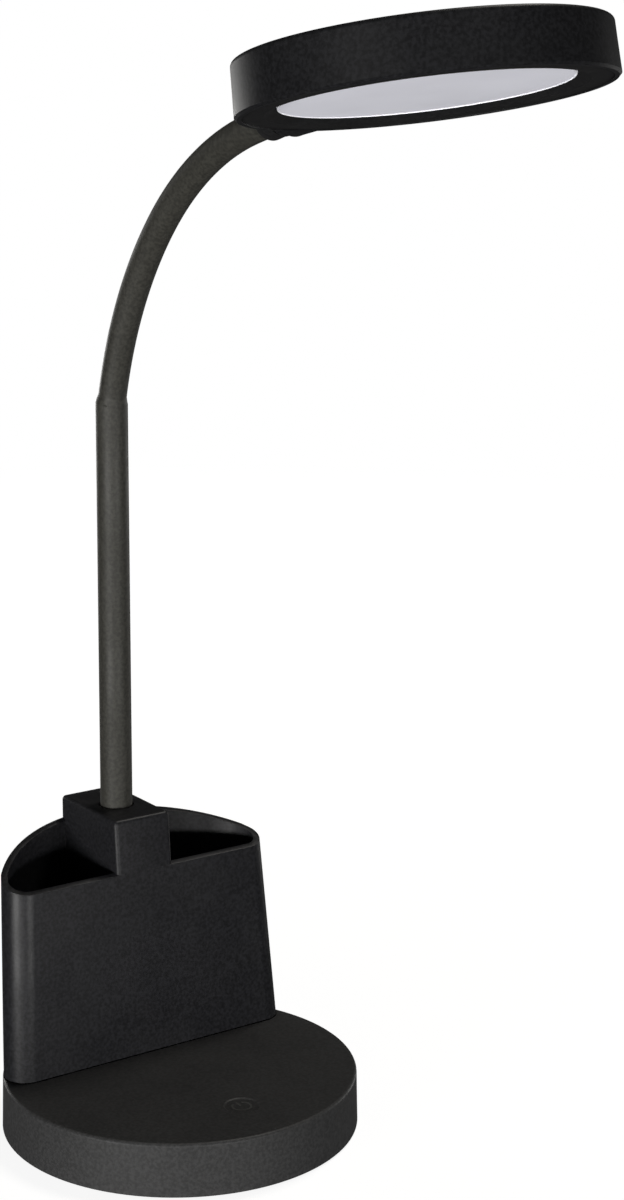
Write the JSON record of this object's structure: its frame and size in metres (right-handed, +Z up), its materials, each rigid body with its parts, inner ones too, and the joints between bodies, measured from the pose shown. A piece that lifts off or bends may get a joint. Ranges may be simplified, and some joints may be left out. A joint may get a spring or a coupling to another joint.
{
  "type": "desk lamp with pen holder base",
  "caption": "Desk lamp with a weighted round base, a half-round pen holder on it, a bendable neck and a round tilting head.",
  "frame": {"origin": "middle of the mat's lower face, on the desk, under the middle of the round base", "axes": "+Z up, the lamp's head reaches out towards -Y, +X to the right seen from the front"},
  "size_m": [0.13, 0.2574, 0.4003],
  "materials": {
    "case_grey": "satin",
    "case_black": "satin",
    "inner_black": "matte",
    "mat_rubber": "matte",
    "ballast_iron": "painted",
    "steel": "bright",
    "dark_steel": "blackened",
    "contact_brass": "bright",
    "board_green": "satin",
    "board_white": "satin",
    "neck_skin": "matte",
    "reflector_white": "gloss",
    "lens_opal": "satin",
    "chip_yellow": "satin"
  },
  "bodies": {
    "stand": {"base_cover": "case_grey", "base_plate": "inner_black", "desk_mat": "mat_rubber", "ballast_plate": "ballast_iron", "ballast_screws": "steel", "base_screws": "steel", "touch_contact": "contact_brass", "touch_spring": "contact_brass", "control_board": "board_green", "board_parts": "inner_black", "board_screws": "steel", "dc_jack": "inner_black", "jack_pin": "steel", "pen_holder": "case_black", "holder_screws": "steel", "neck_pipe": "steel", "neck_washer": "steel", "neck_nut": "steel", "pipe_plug": "dark_steel", "sleeve_pipe": "neck_skin"},
    "link_1": {"sleeve_1": "neck_skin", "neck_link_1": "dark_steel"},
    "link_2": {"sleeve_2": "neck_skin", "neck_link_2": "dark_steel"},
    "link_3": {"sleeve_3": "neck_skin", "neck_link_3": "dark_steel"},
    "link_4": {"sleeve_4": "neck_skin", "neck_link_4": "dark_steel"},
    "link_5": {"sleeve_5": "neck_skin", "neck_link_5": "dark_steel"},
    "link_6": {"sleeve_6": "neck_skin", "neck_link_6": "dark_steel", "sleeve_end": "neck_skin", "neck_collar": "inner_black"},
    "head": {"hinge_pin": "steel", "head_shell": "case_black", "bezel_ring": "inner_black", "lens": "lens_opal", "reflector": "reflector_white", "led_board": "board_white", "led_chips": "chip_yellow", "led_screws": "steel"}
  },
  "joints": [
    {"name": "neck_bend_1", "type": "hinge", "parent": "stand", "child": "link_1", "pos_m": [0, 0.0433, 0.2596], "axis": [1, 0, 0], "range_deg": [-12, 20], "deforming": ["sleeve_1"]},
    {"name": "neck_turn_1", "type": "hinge", "parent": "link_1", "child": "link_2", "pos_m": [0, 0.03575, 0.28354], "axis": [0, 0.9239, 0.3827], "range_deg": [-20, 20], "deforming": ["sleeve_2"]},
    {"name": "neck_bend_2", "type": "hinge", "parent": "link_2", "child": "link_3", "pos_m": [0, 0.02416, 0.3058], "axis": [1, 0, 0], "range_deg": [-15, 20], "deforming": ["sleeve_3"]},
    {"name": "neck_turn_2", "type": "hinge", "parent": "link_3", "child": "link_4", "pos_m": [0, 0.00888, 0.32572], "axis": [0, 0.7373, 0.6756], "range_deg": [-20, 20], "deforming": ["sleeve_4"]},
    {"name": "neck_bend_3", "type": "hinge", "parent": "link_4", "child": "link_5", "pos_m": [0, -0.00736, 0.34052], "axis": [1, 0, 0], "range_deg": [-15, 20], "deforming": ["sleeve_5"]},
    {"name": "neck_turn_3", "type": "hinge", "parent": "link_5", "child": "link_6", "pos_m": [0, -0.026, 0.35216], "axis": [0, 0.4514, 0.8923], "range_deg": [-20, 20], "deforming": ["sleeve_6"]},
    {"name": "head_tilt", "type": "hinge", "parent": "link_6", "child": "head", "pos_m": [0, -0.06818, 0.36672], "axis": [1, 0, 0], "range_deg": [-30, 30]}
  ]
}
